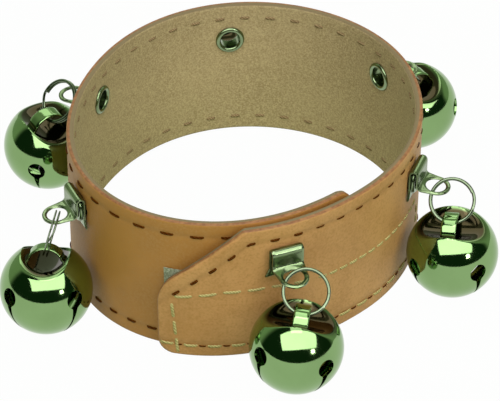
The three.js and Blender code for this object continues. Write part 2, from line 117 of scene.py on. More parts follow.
wound_turns = np.linspace(FLAP_END_TURN, 2 * math.pi + INNER_END_TURN, 901)
wound_lengths = lengths_along(face_point(wound_turns, STRAP_WIDTH / 2))
STRAP_LENGTH = wound_lengths[-1]


def unit(vectors):
    """Vectors scaled to length one."""
    return vectors / np.maximum(np.linalg.norm(vectors, axis=-1, keepdims=True), 1e-12)


def strap_point(length, z, depth):
    """A point at a length along the strap and a height, set into the leather by a depth along the level
    normal."""
    turn = np.interp(length, wound_lengths, wound_turns)
    small = 1e-4
    along = face_point(turn + small, z) - face_point(turn - small, z)
    out = unit(np.stack([along[..., 1], -along[..., 0], 0 * turn], axis=-1))
    return face_point(turn, z) - np.asarray(depth)[..., None] * out


def rounded(a, b, radius):
    """The lesser of two distances to edges, with the corner between them rounded."""
    corner = radius - np.hypot(np.maximum(radius - a, 0), np.maximum(radius - b, 0))
    return np.where((a < radius) & (b < radius), corner, np.minimum(a, b))


def station_length(i):
    """Length along the strap to a station's eyelet, counted from the front."""
    return FIRST_BELL + i * BELL_PITCH


def slant_distance(length, z):
    """Distance from the flap's slanted edge, positive on the leather."""
    run, rise = FLAP_SLANT_LENGTH, STRAP_WIDTH - FLAP_END_HEIGHT
    return (rise * length - run * (z - FLAP_END_HEIGHT)) / math.hypot(run, rise)


def strap_outline(length, z):
    """Distance inside the cut outline of the strap: its edges, corners, slant and eyelet holes."""
    flap = rounded(rounded(length, z, FLAP_CORNER), slant_distance(length, z), FLAP_CORNER)
    end = STRAP_LENGTH - length
    inner = np.minimum(rounded(end, z, INNER_END_CORNER), rounded(end, STRAP_WIDTH - z, INNER_END_CORNER))
    inside = np.minimum(np.minimum(flap, inner), STRAP_WIDTH - z)
    for i in range(len(STATIONS)):
        hole = np.hypot(length - station_length(i), z - EYELET_HEIGHT) - EYELET_CUT
        inside = np.minimum(inside, hole)
    return inside


def stitch_line_distance(length, z):
    """Distance from the two rows of brown stitches: one follows the upper edge and the slant, and one the
    lower edge."""
    upper = np.minimum(STRAP_WIDTH - z, slant_distance(length, z))
    return np.minimum(np.abs(upper - STITCH_FROM_EDGE), np.abs(z - STITCH_FROM_EDGE))


def quads(*corners):
    """Four-sided faces from four arrays of point numbers, one array for each corner."""
    return np.stack(corners, axis=-1).reshape(-1, 4)


def trimmed(u, v, inside, closed=False):
    """A grid over u and v, cut along inside = 0. Where a grid line crosses the outline, its nearer end
    moves onto the crossing. Squares inside stay, and a square that the outline halves leaves a triangle.
    A closed grid's last u joins its first."""
    grid = np.meshgrid(u, v, indexing="ij")
    inner = inside(*grid)
    moved = [grid[0].copy(), grid[1].copy()]
    nearest = np.full(inner.shape, np.inf)
    rows, columns = np.s_[:-1, :], np.s_[:, :-1]
    for low, high in ((rows, np.s_[1:, :]), (columns, np.s_[:, 1:])):
        gap = inner[low] - inner[high]
        crosses = inner[low] * inner[high] < 0
        share = np.where(crosses, inner[low] / np.where(crosses, gap, 1), 2)
        for end, far, way in ((low, high, share), (high, low, 1 - share)):
            take = (way >= 0) & (way <= 0.5) & (way < nearest[end])
            for target, source in zip(moved, grid):
                shifted = source[end] + way * (source[far] - source[end])
                target[end] = np.where(take, shifted, target[end])
            nearest[end] = np.where(take, way, nearest[end])
    inner = np.where(np.isfinite(nearest), 0, inner)
    index = np.arange(inner.size).reshape(inner.shape)
    if closed:
        index[-1] = index[0]
    squares = quads(index[:-1, :-1], index[1:, :-1], index[1:, 1:], index[:-1, 1:])
    depth = inner.ravel()[squares]
    faces = [squares[(depth.min(axis=1) >= 0) & (depth.max(axis=1) > 0)]]
    for k in range(4):
        before, after, across = (k - 1) % 4, (k + 1) % 4, (k + 2) % 4
        half = (depth[:, k] > 0) & (depth[:, across] < 0)
        half &= (depth[:, before] >= 0) & (depth[:, after] >= 0)
        faces.append(squares[half][:, [before, k, after]])
    return moved[0].ravel(), moved[1].ravel(), faces


def walled(front, back, faces):
    """Two matching skins closed by a wall along each free edge."""
    count = len(front)
    edges = np.concatenate([np.stack([f, np.roll(f, -1, axis=1)], axis=-1).reshape(-1, 2) for f in faces])
    there = edges[:, 0] * count + edges[:, 1]
    back_again = edges[:, 1] * count + edges[:, 0]
    free = edges[~np.isin(there, back_again)]
    walls = np.stack([free[:, 1], free[:, 0], free[:, 0] + count, free[:, 1] + count], axis=1)
    return np.concatenate([front, back]), [*faces, *[f[:, ::-1] + count for f in faces], walls]


def piece(name, points, faces, look, body, stands_for=(), marks=None, sharp=40):
    """A mesh that rides on a CAD body: smooth, but sharp where faces meet at more than an angle in degrees.
    Marks are values at its points that its material reads."""
    corners = np.concatenate([f.ravel() for f in faces])
    sizes = np.concatenate([np.full(len(f), f.shape[1]) for f in faces])
    used, corners = np.unique(corners, return_inverse=True)
    mesh = bpy.data.meshes.new(name)
    mesh.vertices.add(len(used))
    mesh.vertices.foreach_set("co", points[used].astype(np.float32).ravel())
    mesh.loops.add(len(corners))
    mesh.loops.foreach_set("vertex_index", corners.astype(np.int32))
    mesh.polygons.add(len(sizes))
    mesh.polygons.foreach_set("loop_start", (np.cumsum(sizes) - sizes).astype(np.int32))
    mesh.polygons.foreach_set("use_smooth", np.ones(len(sizes), bool))
    mesh.update(calc_edges=True)
    mesh.set_sharp_from_angle(angle=math.radians(sharp))
    for mark, values in (marks or {}).items():
        stored = mesh.attributes.new(mark, "FLOAT", "POINT")
        stored.data.foreach_set("value", values[used].astype(np.float32))
    mesh.materials.append(look)
    made = bpy.data.objects.new(name, mesh)
    bpy.context.scene.collection.objects.link(made)
    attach(made, body)
    if stands_for:
        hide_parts(*stands_for)


class Socket:
    """A shader socket that joins in Python arithmetic: each operator on it adds a Math node."""

    def __init__(self, tree, socket=None):
        self.tree = tree
        self.socket = socket

    def node(self, kind, settings=None, inputs=None, output=0):
        """Adds a node of a type, with its settings and then the values or links of its sockets."""
        made = self.tree.nodes.new("ShaderNode" + kind)
        for key, value in (settings or {}).items():
            setattr(made, key, value)
        self.feed(made, inputs or {})
        return Socket(self.tree, made.outputs[output])

    def feed(self, node, inputs):
        """Sets a node's sockets, by name or number, to values or links."""
        for key, value in inputs.items():
            socket = node.inputs[key]
            if isinstance(value, Socket):
                self.tree.links.new(value.socket, socket)
            elif socket.type == "RGBA":
                socket.default_value = (*value, 1)
            else:
                socket.default_value = value

    def maths(self, operation, first, second):
        return self.node("Math", {"operation": operation}, {0: first, 1: second})

    def __add__(self, other):
        return self.maths("ADD", self, other)

    def __sub__(self, other):
        return self.maths("SUBTRACT", self, other)

    def __mul__(self, other):
        return self.maths("MULTIPLY", self, other)

    def __rsub__(self, other):
        return self.maths("SUBTRACT", other, self)

    __radd__ = __add__

    def mark(self, name):
        return self.node("Attribute", {"attribute_name": name}, output="Fac")

    def noise(self, place, scale, detail=3, roughness=0.5):
        sizes = {"Vector": place, "Scale": scale, "Detail": detail, "Roughness": roughness}
        return self.node("TexNoise", inputs=sizes)

    def step(self, low, high):
        """This value taken smoothly from 0 at low to 1 at high."""
        limits = {"Value": self, "From Min": low, "From Max": high}
        return self.node("MapRange", {"interpolation_type": "SMOOTHSTEP"}, limits)

    def colours(self, first, second):
        """The first colour where this value is 0 and the second where it is 1."""
        return self.node("Mix", {"data_type": "RGBA"}, {0: self, 6: first, 7: second}, output=2)


def new_look(name, **constants):
    """A material, its shader, and a Socket to start nodes from, with the shader's constant sockets set."""
    look = bpy.data.materials.new(name)
    look.use_nodes = True
    shader = look.node_tree.nodes["Principled BSDF"]
    start = Socket(look.node_tree)
    start.feed(shader, {key.replace("_", " "): value for key, value in constants.items()})
    return look, shader, start


def leather_look():
    """Tan leather outside with blotches, pores and fine creases, paler on the flap, and grey-tan nap
    inside. The cut edge is dark, and redder towards the outer face."""
    look, shader, start = new_look("tan_leather", Specular_IOR_Level=0.34)
    place = start.node("TexCoord", output="Object")
    suede = start.mark("suede")
    cut = 1 - start.mark("edge").step(0.05, 0.4)
    blotch = start.noise(place, 45, 4, 0.6)
    pores = start.noise(place, 1500, 2)
    nap = start.noise(place, 1900, 4, 0.75)
    crease = start.node("TexVoronoi", {"feature": "DISTANCE_TO_EDGE"}, {"Vector": place, "Scale": 900})
    cloudy = blotch.step(0.32, 0.68)
    handled = cloudy.colours((0.47, 0.23, 0.075), (0.57, 0.292, 0.106))
    tanned = cloudy.colours((0.36, 0.157, 0.029), (0.44, 0.197, 0.042))
    toned = start.mark("flap").colours(tanned, handled)
    grained = (pores * 0.5 + blotch * 0.35).step(0.26, 0.5).colours((0.41, 0.197, 0.052), toned)
    stitched = start.mark("stitch").colours(grained, (0.31, 0.15, 0.04))
    brushed = cloudy.colours((0.29, 0.207, 0.092), (0.35, 0.257, 0.12))
    felted = nap.step(0.33, 0.68).colours(brushed, (0.53, 0.412, 0.215))
    faces = suede.colours(stitched, felted)
    uneven = start.noise(place, 700, 2).step(0.3, 0.7)
    corner_line = uneven.colours((0.2, 0.08, 0.028), (0.32, 0.145, 0.052))
    edges = suede.step(0.25, 0.5).colours(corner_line, (0.185, 0.138, 0.068))
    height = (pores * 0.4 + crease * 0.5) * (1 - suede) + nap * suede
    bump = start.node("Bump", inputs={"Strength": 0.25, "Distance": 0.0004, "Height": height})
    rough = 0.46 + blotch * 0.14 + suede * 0.36
    start.feed(shader, {"Base Color": cut.colours(faces, edges), "Roughness": rough, "Normal": bump})
    return look


def strap_skins():
    """The strap's two faces on one cut grid, drawn together at the cut edges and pressed in under the
    stitches."""
    edge_lines = np.array([0, 0.12, 0.32]) * mm
    run = np.arange(STRAP_CELL, STRAP_LENGTH - STRAP_CELL / 2, STRAP_CELL)
    rise = np.arange(STRAP_CELL, STRAP_WIDTH - STRAP_CELL / 2, STRAP_CELL)
    lengths = np.concatenate([edge_lines, run, STRAP_LENGTH - edge_lines[::-1]])
    heights = np.concatenate([edge_lines, rise, STRAP_WIDTH - edge_lines[::-1]])
    length, z, faces = trimmed(lengths, heights, strap_outline)
    inside = np.maximum(strap_outline(length, z), 0)
    drawn = EDGE_ROUND - np.sqrt(EDGE_ROUND**2 - np.maximum(EDGE_ROUND - inside, 0) ** 2)
    near_stitch = np.exp(-((stitch_line_distance(length, z) / GROOVE_REACH) ** 2))
    front = strap_point(length, z, drawn + STITCH_GROOVE * near_stitch)
    back = strap_point(length, z, STRAP_THICKNESS - drawn)
    points, faces = walled(front, back, faces)
    marks = {
        "edge": np.tile(inside / mm, 2),
        "suede": np.repeat([0.0, 1.0], len(length)),
        "stitch": np.concatenate([STITCH_SHADE * near_stitch, 0 * near_stitch]),
        "flap": np.tile(np.clip((FLAP_TONE_STOP - length) / FLAP_TONE_FADE, 0, 1), 2),
    }
    return points, faces, marks


strap_points, strap_faces, strap_marks = strap_skins()
piece(
    "strap", strap_points, strap_faces, leather_look(), "band", ["leather_strap"],
    strap_marks, sharp=50,
)

# The closure: a hook tape sewn under the flap, and a loop tape on the layer that it grips. Both are woven
# tapes about 20 mm wide, one with rows of stiff little hooks and one with a brushed pile.
HOOK_LOW = 2.3 * mm
HOOK_WIDTH = 20.7 * mm
HOOK_FROM_END = 2.5 * mm
HOOK_LENGTH = 88 * mm
LOOP_LOW = 6.3 * mm
LOOP_WIDTH = 20 * mm
LOOP_LENGTH = 47.5 * mm
LOOP_FROM_END = 4 * mm
TAPE_CELL = 0.8 * mm
TAPE_EDGE_THINNED = 0.3 * TAPE_THICKNESS
TAPE_EDGE_REACH = 0.3 * mm


def tape_look(name, light, dark, tuft_scale):
    """Woven tape: rows of tufts over a coarse weave."""
    look, shader, start = new_look(name, Specular_IOR_Level=0.2)
    place = start.node("TexCoord", output="Object")
    tufts = start.node("TexVoronoi", inputs={"Vector": place, "Scale": tuft_scale})
    fuzz = start.noise(place, 2500, 4, 0.8)
    shade = (tufts * 0.7 + fuzz * 0.5).step(0.25, 0.8)
    bump = start.node("Bump", inputs={"Strength": 0.7, "Distance": 0.0004, "Height": fuzz - tufts})
    rough = 0.78 + fuzz * 0.2
    start.feed(shader, {"Base Color": shade.colours(light, dark), "Roughness": rough, "Normal": bump})
    return look


def tape(name, node, low, width, start, stop, outer_depth, look):
    """A thin strip that follows the strap between two lengths, with its edges drawn together."""

    def outline(length, z):
        ends = np.minimum(length - start, stop - length)
        return np.minimum(ends, np.minimum(z - low, low + width - z))

    lengths = np.linspace(start, stop, int((stop - start) / TAPE_CELL))
    heights = np.linspace(low, low + width, int(width / TAPE_CELL))
    length, z, faces = trimmed(lengths, heights, outline)
    drawn = TAPE_EDGE_THINNED * np.exp(-outline(length, z) / TAPE_EDGE_REACH)
    front = strap_point(length, z, outer_depth + drawn)
    back = strap_point(length, z, outer_depth + TAPE_THICKNESS - drawn)
    points, faces = walled(front, back, faces)
    piece(name, points, faces, look, "band", [node])


hook_look = tape_look("hook_tape", (0.5, 0.52, 0.4), (0.28, 0.3, 0.22), 900)
loop_look = tape_look("loop_tape", (0.44, 0.46, 0.33), (0.26, 0.28, 0.18), 1500)
hook_stop = HOOK_FROM_END + HOOK_LENGTH
hook_depth = STRAP_THICKNESS + LAYER_GAP
tape("hook_tape", "hook_strip", HOOK_LOW, HOOK_WIDTH, HOOK_FROM_END, hook_stop, hook_depth, hook_look)
loop_stop = STRAP_LENGTH - LOOP_FROM_END
loop_start = loop_stop - LOOP_LENGTH
loop_depth = -LAYER_GAP - TAPE_THICKNESS
tape("loop_tape", "loop_strip", LOOP_LOW, LOOP_WIDTH, loop_start, loop_stop, loop_depth, loop_look)

# The sewing: rows of flat dark brown thread along the strap's edges, finer at the flap's right, which show
# again on the suede, and a pale seam that holds the hook tape to the flap. The seam's stitches are long at
# the left and fine at the right, with fine brown ones in the gaps of its lower row.
STITCH_PITCH = 7.75 * mm
STITCH_LENGTH = 4 * mm
LOW_PITCH = 6.2 * mm
LOW_LENGTH = 3.2 * mm
STITCH_WIDTH = 0.8 * mm
STITCH_PROUD = 0.1 * mm
STITCH_SINK = 0.45 * mm
STITCH_SIDES = 8
UPPER_FROM_END = 5 * mm
LOWER_FROM_END = 10 * mm
FLAP_PITCH = 6.3 * mm
FLAP_STITCH_LENGTH = 2.8 * mm
FLAP_SEWN_TO = 95 * mm
FLAP_STITCHES = 7
FLAP_TO_STRAP_ROWS = 3 * mm
SLANT_BARE_SHARE = 0.06
FINE_WIDTH = 0.5 * mm
SEAM_LENGTH = 5.5 * mm
SEAM_END_PITCH = 0.93 * FLAP_PITCH
FINE_SEAM_PITCH = 3.4 * mm
FINE_SEAM_LENGTH = 3.1 * mm
SEAM_LOW = 3.6 * mm
SEAM_LOW_FROM = 0.3 * mm
SEAM_LOW_LENGTH = 4.2 * mm
SEAM_HIGH = 20 * mm
SEAM_LEVEL_FROM = 46 * mm
SEAM_WIDTH = 0.85 * mm
SEAM_STOP = 89 * mm
GAP_STITCH = 2.2 * mm
INSIDE_PITCH = 7.3 * mm
INSIDE_LENGTH = 3.2 * mm
INSIDE_WIDTH = 0.95 * mm
INSIDE_PAST_SLANT = 4 * mm
INSIDE_PAST_TAPE = 6 * mm


def thread_look(name, light, dark):
    """Twisted thread: fine slanting ply, a little lighter along its ridges as painted highlight and darker
    between them as painted shade.
    """
    look, shader, start = new_look(name, Specular_IOR_Level=0.04)
    place = start.node("TexCoord", output="Object")
    twist = {"Vector": place, "Scale": 700, "Distortion": 2}
    ply = start.node("TexWave", {"bands_direction": "DIAGONAL"}, twist)
    bump = start.node("Bump", inputs={"Strength": 0.4, "Distance": 0.0002, "Height": ply})
    # Painted light: the ply wave that bumps the thread also colours its ridges lighter and its grooves
    # darker.
    colour = ply.step(0, 1).colours(dark, light)
    start.feed(shader, {"Base Color": colour, "Roughness": 0.6 + ply * 0.15, "Normal": bump})
    return look


def stitches(name, path, pitch, length, width, depth, out, look, offset=0.0):
    """Flat stitches along a path of lengths and heights, on the face at a depth: out is 1 for the outer
    face and -1 for the suede. Each one is a tube of oval section that stands proud in its middle, sinks
    into the leather at its ends and narrows there."""
    path = np.array(path)
    marks = lengths_along(path)
    starts = np.arange(offset, marks[-1] - length, pitch)
    share = np.linspace(0, 1, 11)
    along = starts[:, None] + share * length
    run = np.interp(along, marks, path[:, 0])
    z = np.interp(along, marks, path[:, 1])
    sink = depth - out * (STITCH_PROUD - STITCH_SINK * np.abs(2 * share - 1) ** 4)
    centre = strap_point(run, z, sink + 0 * run)
    up = unit(strap_point(run, z, 0 * run) - strap_point(run, z, 0 * run + mm)) * out
    side = unit(np.cross(np.gradient(centre, axis=1), up))
    turn = np.linspace(0, 2 * math.pi, STITCH_SIDES + 1)[:-1]
    narrow = np.sqrt(np.maximum(1 - np.abs(2 * share - 1) ** 6, 0.01))[:, None, None]
    across = side[:, :, None] * np.cos(turn)[:, None] * width / 2
    raised = up[:, :, None] * np.sin(turn)[:, None] * width / 4
    points = centre[:, :, None] + narrow * (across + raised)
    index = np.arange(points[..., 0].size).reshape(points.shape[:3])
    nxt = np.roll(index, -1, axis=2)
    faces = quads(index[:, :-1], nxt[:, :-1], nxt[:, 1:], index[:, 1:])
    caps = np.concatenate([index[:, 0, ::-1], index[:, -1]])
    piece(name, points.reshape(-1, 3), [faces, caps], look, "band")


brown_thread = thread_look("brown_thread", (0.12, 0.033, 0.0015), (0.05, 0.012, 0.0006))
worn_thread = thread_look("worn_thread", (0.33, 0.235, 0.12), (0.2, 0.135, 0.065))
pale_thread = thread_look("pale_thread", (0.54, 0.46, 0.205), (0.37, 0.3, 0.11))
stitch_high = STRAP_WIDTH - STITCH_FROM_EDGE
slant_way = np.array([FLAP_SLANT_LENGTH, STRAP_WIDTH - FLAP_END_HEIGHT])
slant_in = np.array([slant_way[1], -slant_way[0]]) / np.linalg.norm(slant_way)
slant_foot = np.array([0, FLAP_END_HEIGHT]) + STITCH_FROM_EDGE * slant_in
slant_start = slant_foot + SLANT_BARE_SHARE * slant_way
slant_stop = slant_foot + slant_way * (stitch_high - slant_foot[1]) / slant_way[1]
fine_from = slant_stop[0] + FLAP_STITCHES * FLAP_PITCH - np.linalg.norm(slant_stop - slant_start)
strap_from = FLAP_SEWN_TO + FLAP_TO_STRAP_ROWS
upper_stop = (STRAP_LENGTH - UPPER_FROM_END, stitch_high)
lower_stop = (STRAP_LENGTH - LOWER_FROM_END, STITCH_FROM_EDGE)
slant_path = [slant_start, slant_stop, (fine_from, stitch_high)]
fine_path = [(fine_from, stitch_high), (FLAP_SEWN_TO, stitch_high)]
upper_path = [(strap_from, stitch_high), upper_stop]
lower_path = [(strap_from, STITCH_FROM_EDGE), lower_stop]
low_seam = [(SEAM_LOW_FROM, SEAM_LOW), (SEAM_STOP, SEAM_LOW)]
flap_stitch = (FLAP_PITCH, FLAP_STITCH_LENGTH)
brown = (0, 1, brown_thread)
stitches("stitches_flap", slant_path, *flap_stitch, STITCH_WIDTH, *brown)
stitches("stitches_flap_fine", fine_path, *flap_stitch, FINE_WIDTH, *brown)
stitches("stitches_upper", upper_path, STITCH_PITCH, STITCH_LENGTH, STITCH_WIDTH, *brown)
stitches("stitches_lower", lower_path, LOW_PITCH, LOW_LENGTH, STITCH_WIDTH, *brown)
between = (FLAP_PITCH + SEAM_LOW_LENGTH - GAP_STITCH) / 2
stitches("stitches_gap", low_seam, FLAP_PITCH, GAP_STITCH, FINE_WIDTH, *brown, offset=between)

inside_stitch = (INSIDE_PITCH, INSIDE_LENGTH, INSIDE_WIDTH, STRAP_THICKNESS, -1, worn_thread)
inside_upper_path = [(slant_stop[0] + INSIDE_PAST_SLANT, stitch_high), upper_stop]
inside_lower_path = [(hook_stop + INSIDE_PAST_TAPE, STITCH_FROM_EDGE), lower_stop]
stitches("stitches_inside_upper", inside_upper_path, *inside_stitch)
stitches("stitches_inside_lower", inside_lower_path, *inside_stitch)

seam_top = np.array([(4.4, 19.6), (18, 21.9), (30, 21.9), (43, 20.4)]) * mm
seam_fine = [seam_top[-1], (SEAM_LEVEL_FROM, SEAM_HIGH), (SEAM_STOP, SEAM_HIGH)]
seam_end = np.array([(5.4, 0.5), (3.9, 18.9)]) * mm
seam_far = [(SEAM_STOP, SEAM_LOW), (SEAM_STOP, SEAM_HIGH)]
fine_seam = (FINE_SEAM_PITCH, FINE_SEAM_LENGTH, SEAM_WIDTH)
pale = (0, 1, pale_thread)
stitches("seam_top", seam_top, FLAP_PITCH, SEAM_LENGTH, SEAM_WIDTH, *pale)
stitches("seam_fine", seam_fine, *fine_seam, *pale)
stitches("seam_low", low_seam, FLAP_PITCH, SEAM_LOW_LENGTH, SEAM_WIDTH, *pale)
stitches("seam_end", seam_end, SEAM_END_PITCH, SEAM_LENGTH, SEAM_WIDTH, *pale)
stitches("seam_far", seam_far, *fine_seam, *pale)

# The eyelets: nickel-plated steel, each pressed through the leather from inside and rolled over outside
# to clench its hanger. The flange on the suede is a smooth round rim.
EYELET_HOLE = 2.6 * mm
EYELET_WALL = 0.45 * mm
EYELET_FLANGE = 4 * mm
FLANGE_THICKNESS = 0.6 * mm
ROLL_RADIUS = 3.8 * mm
ROLL_THICKNESS = 0.6 * mm
EYELET_CLEARANCE = 0.15 * mm
SHEET = 0.7 * mm
SEAT_GAP = 0.2 * mm


def nickel_look(name, light, dark, rough, recess_shade=None):
    """Bright plate: faint cloudy tarnished patches and fine scuffs that only break up the gloss. A painted
    shade colour darkens it where the mesh marks a recess, standing in for the shade there."""
    look, shader, start = new_look(name, Metallic=1.0)
    place = start.node("TexCoord", output="Object")
    cloud = start.noise(place, 120, 3)
    scuffs = start.noise(place, 2200, 3, 0.7)
    bump = start.node("Bump", inputs={"Strength": 0.02, "Distance": 0.0002, "Height": scuffs})
    gloss = rough + cloud.step(0.4, 0.75) * 0.05 + scuffs.step(0.6, 0.8) * 0.06
    colour = cloud.step(0.3, 0.75).colours(light, dark)
    # Painted shade: where the recess mark is high, the plate takes the given dark colour in place of its
    # own.
    if recess_shade:
        colour = start.mark("recess").colours(colour, recess_shade)
    start.feed(shader, {"Base Color": colour, "Roughness": gloss, "Normal": bump})
    return look


def station_place(i):
    """Where an eyelet sits on the outer face: its middle, and unit vectors to the left, straight out and
    up."""
    turn = np.interp(station_length(i), wound_lengths, wound_turns)
    small = 1e-4
    along = face_point(turn + small, EYELET_HEIGHT) - face_point(turn - small, EYELET_HEIGHT)
    rise = unit(face_point(turn, EYELET_HEIGHT + small) - face_point(turn, EYELET_HEIGHT - small))
    out = unit(np.cross(along, rise))
    return face_point(turn, EYELET_HEIGHT), np.array([np.cross(out, rise), out, rise])


def revolved(profile, steps):
    """A closed profile of radii and heights turned about an axis: the radius times cosine and sine, and the
    height."""
    turn = np.linspace(0, 2 * math.pi, steps + 1)[:-1, None]
    radius, height = np.array(profile).T
    points = np.stack([radius * np.cos(turn), radius * np.sin(turn), height + 0 * turn], axis=-1)
    index = np.arange(points[..., 0].size).reshape(points.shape[:2])
    nxt = np.roll(index, -1, axis=0)
    after = np.roll(np.arange(index.shape[1]), -1)
    faces = quads(index, nxt, nxt[:, after], index[:, after])
    return points.reshape(-1, 3), faces


def arc(middle, radii, start, stop, steps):
    """Points of an oval arc from one angle to another, in degrees."""
    turn = np.radians(np.linspace(start, stop, steps))
    return np.stack([middle[0] + radii[0] * np.cos(turn), middle[1] + radii[1] * np.sin(turn)], axis=-1)


def eyelet_profile():
    """Radius against height, up out of the leather: a domed flange inside, the barrel and the roll."""
    inside = -STRAP_THICKNESS - SEAT_GAP
    outside = SEAT_GAP + SHEET + EYELET_CLEARANCE
    wall = EYELET_HOLE + EYELET_WALL
    flange_middle = ((EYELET_HOLE + EYELET_FLANGE) / 2, inside)
    flange = arc(flange_middle, ((EYELET_FLANGE - EYELET_HOLE) / 2, FLANGE_THICKNESS), 180, 360, 16)
    roll_middle = ((EYELET_HOLE + ROLL_RADIUS) / 2, outside)
    roll = arc(roll_middle, ((ROLL_RADIUS - EYELET_HOLE) / 2, ROLL_THICKNESS), 0, 180, 14)
    return np.concatenate([flange, [(wall, inside), (wall, outside)], roll])


hardware_look = nickel_look("nickel_hardware", (0.22, 0.29, 0.155), (0.165, 0.225, 0.11), 0.22)
eyelet_points, eyelet_faces = revolved(eyelet_profile(), 56)
eyelet_points = eyelet_points[:, [1, 2, 0]]
for i, name in enumerate(STATIONS):
    middle, ways = station_place(i)
    node = f"eyelet_{name}"
    points = eyelet_points @ ways + middle
    piece(node + "_rim", points, [eyelet_faces], hardware_look, "band", [node])

# The hangers: strips of plated sheet steel folded over at the top. The back leg, flared at its foot, lies
# on the leather under the eyelet's roll, and the front leg turns out into a round-ended tab with an eye.
HANGER_WIDTH = 8.5 * mm
HANGER_RISE = 5.2 * mm
HANGER_TAIL = 4 * mm
TAIL_FLARE = 10.6 * mm
TAIL_FLARE_FROM = 1.5 * mm
LEG_GAP = 1.3 * mm
TAB_BEND = 1 * mm
TAB_BELOW_EYELET = 0.6 * mm
EYE_REACH = 2.75 * mm
EYE_HOLE = 2.65 * mm
TAB_END = 3.85 * mm
EYE_LIP = 0.12 * mm
EYE_LIP_FROM_HOLE = 0.8 * mm
EYE_LIP_WIDTH = 0.3 * mm
EYE_ROUND = 0.28 * mm
SHEET_EDGE_ROUND = 0.18 * mm
SHEET_EDGE_REACH = 0.15 * mm
TAB_DROPS = {"front": math.radians(5)}
TAB_DROP = math.radians(4)
SHEET_CELL = 0.28 * mm


def hanger_line(drop):
    """The strip's middle line from the side, out and up: the back leg, a half-round fold, the front leg, a
    round bend and the tab. Returns its points, the length to each, the length to the eye and the eye."""
    fold = (SHEET + LEG_GAP) / 2
    back = SEAT_GAP + SHEET / 2
    over = arc((back + fold, HANGER_RISE - SHEET / 2 - fold), (fold, fold), 180, 0, 24)
    bend = TAB_BEND + SHEET / 2
    bend_middle = (back + 2 * fold + bend, bend - TAB_BELOW_EYELET)
    turned = arc(bend_middle, (bend, bend), 180, 270 - math.degrees(drop), 16)
    way = np.array([math.cos(drop), -math.sin(drop)])
    eye = turned[-1] + EYE_REACH * way
    line = np.concatenate([[(back, -HANGER_TAIL)], over, turned, [eye, eye + TAB_END * way]])
    marks = lengths_along(line)
    return line, marks, marks[-2], eye


def hanger(name, drop, middle, ways):
    """The sheet on a cut grid of length and width, half the sheet to each side of its middle line, with a
    lip round the eye."""
    line, marks, eye_at, _ = hanger_line(drop)
    half = HANGER_WIDTH / 2

    def outline(length, across):
        flare = np.clip((HANGER_TAIL - TAIL_FLARE_FROM - length) / (HANGER_TAIL - TAIL_FLARE_FROM), 0, 1)
        taper = np.clip((length - eye_at + EYE_REACH) / EYE_REACH, 0, 1)
        sides = half + flare * (TAIL_FLARE / 2 - half) - taper * (half - TAB_END) - np.abs(across)
        from_eye = np.hypot(length - eye_at, across)
        edge = np.where(length > eye_at, TAB_END - from_eye, sides)
        clench = np.hypot(length - HANGER_TAIL, across) - EYELET_CUT
        return np.minimum(np.minimum(edge, from_eye - EYE_HOLE), np.minimum(clench, length))

    lengths = np.linspace(0, marks[-1], int(marks[-1] / SHEET_CELL))
    widths = np.linspace(-TAIL_FLARE / 2, TAIL_FLARE / 2, int(TAIL_FLARE / SHEET_CELL))
    length, across, faces = trimmed(lengths, widths, outline)

    def middle_at(where):
        return np.stack([np.interp(where, marks, line[:, 0]), np.interp(where, marks, line[:, 1])], axis=-1)

    way = unit(middle_at(length + SHEET_CELL) - middle_at(np.maximum(length - SHEET_CELL, 0)))
    side = np.stack([0 * length, way[:, 1], -way[:, 0]], axis=-1)
    centre = np.concatenate([across[:, None], middle_at(length)], axis=1)
    from_eye = np.hypot(length - eye_at, across) - EYE_HOLE
    lip = EYE_LIP * np.exp(-((from_eye - EYE_LIP_FROM_HOLE) / EYE_LIP_WIDTH) ** 2)
    drawn = SHEET_EDGE_ROUND * np.exp(-np.maximum(outline(length, across), 0) / SHEET_EDGE_REACH)
    drawn = np.maximum(drawn, EYE_ROUND * np.exp(-np.maximum(from_eye, 0) / EYE_ROUND))
    skins = [centre + sign * side * (SHEET / 2 + lip - drawn)[:, None] for sign in (1, -1)]
    points, faces = walled(*skins, faces)
    node = f"hanger_{name}"
    piece(node + "_sheet", points @ ways + middle, faces, hardware_look, "band", [node])


for i, name in enumerate(STATIONS):
    hanger(name, TAB_DROPS.get(name, TAB_DROP), *station_place(i))

# The split rings: each is two turns of one flattened nickel-plated wire with a short jog between them,
# passed through its hanger's eye and under its bell's bridge.
RING_OUTSIDE = 6.2 * mm
WIRE_WIDTH = 0.9 * mm
WIRE_THICKNESS = 0.5 * mm
TURN_GAP = 0.42 * mm
TURN_PITCH = WIRE_THICKNESS + TURN_GAP
WIRE_MIDDLE = RING_OUTSIDE - WIRE_WIDTH / 2
RING_TURN = 2 * math.pi
JOG = RING_TURN / 8

joints = {joint["name"]: joint for joint in frame["joints"]}


def ring_wire():
    """The wire's centre line is a circle, shifted along its axis by one pitch over the jog, and its section
    is an oval, wider across the ring than along its axis."""
    turn = np.linspace(0, 2 * RING_TURN - JOG, 240)[:, None]
    rise = np.clip((turn - RING_TURN + JOG) / JOG, 0, 1)
    shift = TURN_PITCH * (rise**2 * (3 - 2 * rise) - 0.5)
    around = np.linspace(0, RING_TURN, 13)[:-1]
    radius = WIRE_MIDDLE + WIRE_WIDTH / 2 * np.cos(around)
    along = shift + WIRE_THICKNESS / 2 * np.sin(around)
    points = np.stack([radius * np.cos(turn), along, radius * np.sin(turn)], axis=-1)
    index = np.arange(points[..., 0].size).reshape(points.shape[:2])
    nxt = np.roll(index, -1, axis=1)
    faces = quads(index[:-1], nxt[:-1], nxt[1:], index[1:])
    return points.reshape(-1, 3), [faces, np.stack([index[0, ::-1], index[-1]])]


